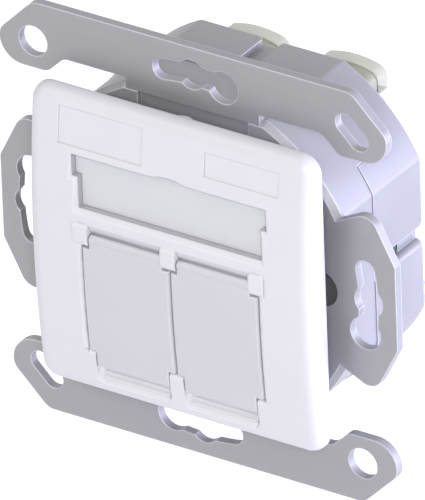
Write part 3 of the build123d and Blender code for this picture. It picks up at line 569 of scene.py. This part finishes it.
def contact_wires(side, tree, gold):
    """Row of bent wires in the place of the CAD contacts of one socket."""
    sizes = bpy.context.scene.outlet_wires
    node = f"jack_contacts_{side}"
    low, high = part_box(node)
    middle = (low.x + high.x) / 2
    radius = sizes.diameter / 2
    front = low.y + radius
    roof = high.z - radius
    corners = [
        (middle, high.y, roof),
        (middle, front, roof),
        (middle, front, roof - sizes.loop),
        (middle, front + sizes.leg, low.z + radius),
    ]
    mesh = bpy.data.meshes.new(f"contact_wires_{side}")
    mesh.from_pydata(corners, [(0, 1), (1, 2), (2, 3)], [])
    wires = bpy.data.objects.new(f"contact_wires_{side}", mesh)
    bpy.context.scene.collection.objects.link(wires)
    modifier = wires.modifiers.new("wires", "NODES")
    modifier.node_group = tree
    values = {
        "Wires": sizes.count,
        "Pitch": sizes.pitch,
        "Wire radius": radius,
        "Bend radius": sizes.bend,
        "Finish": gold,
    }
    for socket in tree.interface.items_tree:
        if socket.name in values:
            modifier[socket.identifier] = values[socket.name]
    graph = bpy.context.evaluated_depsgraph_get()
    finished = bpy.data.meshes.new_from_object(wires.evaluated_get(graph))
    wires.modifiers.clear()
    wires.data = finished
    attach(wires, BODY)
    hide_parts(node)


class SocketsOperator(Operator):
    """Finish the sockets and bend their contact wires"""

    bl_idname = "outlet.sockets"
    bl_label = "Sockets"

    def execute(self, context):
        sizes = finishes()
        body = surface_material(
            "socket_moulding",
            sizes.socket,
            roughness=0.5,
            grain_scale=3000.0,
            grain_height=0.006 * MM,
            mottle=0.08,
            crevice=0.5,
        )
        shield = surface_material(
            "socket_shield",
            sizes.steel,
            roughness=0.3,
            metallic=1.0,
            grain_scale=2500.0,
            grain_height=0.004 * MM,
            crevice=0.5,
        )
        gold = surface_material(
            "gold_contact",
            sizes.gold,
            roughness=0.3,
            metallic=0.65,
            grain_scale=5000.0,
            grain_height=0.002 * MM,
            crevice=0.8,
        )
        dress(body, "jack_left", "jack_right")
        dress(shield, "jack_shield_left", "jack_shield_right")
        dress(shield, "terminal_contacts_left", "terminal_contacts_right")
        dress(gold, "jack_contacts_left", "jack_contacts_right")
        tree = wire_tree()
        for side in SIDES:
            contact_wires(side, tree, gold)
        return {"FINISHED"}


class TerminalsOperator(Operator):
    """Finish the terminal blocks and their wire caps"""

    bl_idname = "outlet.terminals"
    bl_label = "Terminals"

    def execute(self, context):
        sizes = finishes()
        block = surface_material(
            "terminal_moulding",
            sizes.terminal,
            roughness=0.45,
            grain_scale=3000.0,
            grain_height=0.006 * MM,
            mottle=0.03,
            crevice=0.6,
        )
        cap = surface_material(
            "milky_cap",
            sizes.cap,
            roughness=0.3,
            grain_scale=1500.0,
            grain_height=0.003 * MM,
            mottle=0.03,
            crevice=0.85,
            settings={"Alpha": 0.55},
        )
        dress(block, "terminal_block_left", "terminal_block_right")
        dress(cap, "wire_cap_left", "wire_cap_right")
        return {"FINISHED"}


# Stage, lamps and camera


def floor_material():
    """Pale floor that shows white, apart from the object's shadow."""
    material = bpy.data.materials.new("pale_floor")
    material.use_nodes = True
    tree = material.node_tree
    shader = tree.nodes["Principled BSDF"]
    shader.inputs["Base Color"].default_value = (*FLOOR_COLOUR, 1.0)
    shader.inputs["Roughness"].default_value = 0.9
    rays = add(tree, "ShaderNodeLightPath")
    seen = add(tree, "ShaderNodeMath", operation="MAXIMUM")
    lift = add(tree, "ShaderNodeMath", operation="MULTIPLY")
    lift.inputs[1].default_value = FLOOR_GLOW
    tree.links.new(rays.outputs["Is Camera Ray"], seen.inputs[0])
    tree.links.new(rays.outputs["Is Glossy Ray"], seen.inputs[1])
    tree.links.new(seen.outputs["Value"], lift.inputs[0])
    tree.links.new(lift.outputs["Value"], shader.inputs["Emission Strength"])
    shader.inputs["Emission Color"].default_value = (*WHITE, 1.0)
    return material


def white_surroundings(ambient):
    """World that is white where it is seen or mirrored, and lights the object more softly."""
    world = bpy.data.worlds.new("white_surroundings")
    bpy.context.scene.world = world
    world.use_nodes = True
    tree = world.node_tree
    shown = tree.nodes["Background"]
    shown.inputs["Color"].default_value = (*WHITE, 1.0)
    rays = add(tree, "ShaderNodeLightPath")
    camera_or_glossy = add(tree, "ShaderNodeMath", operation="MAXIMUM")
    any_seen = add(tree, "ShaderNodeMath", operation="MAXIMUM")
    strength = add(tree, "ShaderNodeMapRange")
    strength.inputs["To Min"].default_value = ambient
    strength.inputs["To Max"].default_value = 1.0
    tree.links.new(rays.outputs["Is Camera Ray"], camera_or_glossy.inputs[0])
    tree.links.new(rays.outputs["Is Glossy Ray"], camera_or_glossy.inputs[1])
    tree.links.new(camera_or_glossy.outputs["Value"], any_seen.inputs[0])
    tree.links.new(rays.outputs["Is Transmission Ray"], any_seen.inputs[1])
    tree.links.new(any_seen.outputs["Value"], strength.inputs["Value"])
    tree.links.new(strength.outputs["Result"], shown.inputs["Strength"])


def area_lamp(name, direction, distance, size, watts, colour):
    """Soft square lamp that looks at the origin from a direction."""
    light = bpy.data.lights.new(name, "AREA")
    light.shape = "SQUARE"
    light.size = size
    light.energy = watts
    light.color = colour
    lamp = bpy.data.objects.new(name, light)
    bpy.context.scene.collection.objects.link(lamp)
    away = Vector(direction).normalized()
    lamp.location = away * distance
    lamp.rotation_euler = away.to_track_quat("Z", "Y").to_euler()


def camera_axes(azimuth, elevation, roll):
    """Right, up and back directions of the camera, angles in degrees."""
    turn, rise, lean = (math.radians(angle) for angle in (azimuth, elevation, roll))
    right = Vector((math.cos(turn), math.sin(turn), 0))
    back = Vector((math.sin(turn) * math.cos(rise), -math.cos(turn) * math.cos(rise), math.sin(rise)))
    up = back.cross(right)
    return (
        right * math.cos(lean) + up * math.sin(lean),
        up * math.cos(lean) - right * math.sin(lean),
        back,
    )


class StageOperator(Operator):
    """Lay the pale floor, hang the lamps and set up the camera"""

    bl_idname = "outlet.stage"
    bl_label = "Stage"

    def execute(self, context):
        sizes = context.scene.outlet_stage
        half = sizes.floor_size / 2
        mesh = bpy.data.meshes.new("floor")
        corners = [(-half, -half), (half, -half), (half, half), (-half, half)]
        mesh.from_pydata([(x, y, -sizes.floor_drop) for x, y in corners], [], [(0, 1, 2, 3)])
        floor = bpy.data.objects.new("floor", mesh)
        context.scene.collection.objects.link(floor)
        mesh.materials.append(floor_material())
        white_surroundings(sizes.ambient)
        area_lamp("key_lamp", KEY_FROM, distance=0.8, size=0.5, watts=sizes.key_watts, colour=KEY_COLOUR)
        area_lamp("top_lamp", TOP_FROM, distance=0.8, size=0.4, watts=sizes.top_watts, colour=WHITE)
        camera_data = bpy.data.cameras.new("camera")
        camera_data.lens = sizes.lens
        camera = bpy.data.objects.new("camera", camera_data)
        context.scene.collection.objects.link(camera)
        right, up, back = camera_axes(sizes.azimuth, sizes.elevation, sizes.roll)
        face_centre = Vector((0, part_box("support_frame")[0].y, 0))
        aim = face_centre + right * sizes.shift_right + up * sizes.shift_up
        distance = sizes.field * sizes.lens / camera_data.sensor_width
        turn = Matrix((right, up, back)).transposed().to_4x4()
        camera.matrix_world = Matrix.Translation(aim + back * distance) @ turn
        camera_data.clip_end = 3 * distance
        area_lamp("fill_lamp", back, distance=1.0, size=0.25, watts=sizes.fill_watts, colour=WHITE)
        context.scene.camera = camera
        context.scene.view_settings.view_transform = "Standard"
        return {"FINISHED"}


# Panel and registration


class OutletPanel(Panel):
    """Steps that dress the outlet, and their settings"""

    bl_idname = "VIEW3D_PT_outlet"
    bl_label = "Outlet"
    bl_space_type = "VIEW_3D"
    bl_region_type = "UI"
    bl_category = "Outlet"

    def draw(self, context):
        layout = self.layout
        scene = context.scene
        for step in STEPS:
            layout.operator(step.bl_idname)
        for group in (scene.outlet_finishes, scene.outlet_wires, scene.outlet_stage):
            column = layout.column()
            for key in group.__annotations__:
                column.prop(group, key)


GROUPS = (OutletFinishes, OutletWires, OutletStage)
STEPS = (
    StageOperator,
    DieCastOperator,
    ScrewsOperator,
    MouldingsOperator,
    LabelOperator,
    BoardOperator,
    SocketsOperator,
    TerminalsOperator,
)


def register():
    for kind in (*GROUPS, *STEPS, OutletPanel):
        bpy.utils.register_class(kind)
    bpy.types.Scene.outlet_finishes = PointerProperty(type=OutletFinishes)
    bpy.types.Scene.outlet_wires = PointerProperty(type=OutletWires)
    bpy.types.Scene.outlet_stage = PointerProperty(type=OutletStage)


def unregister():
    del bpy.types.Scene.outlet_stage
    del bpy.types.Scene.outlet_wires
    del bpy.types.Scene.outlet_finishes
    for kind in reversed((*GROUPS, *STEPS, OutletPanel)):
        bpy.utils.unregister_class(kind)


def main():
    register()
    for step in STEPS:
        group, action = step.bl_idname.split(".")
        getattr(getattr(bpy.ops, group), action)()
    bpy.context.view_layer.update()


if __name__ == "__main__":
    main()
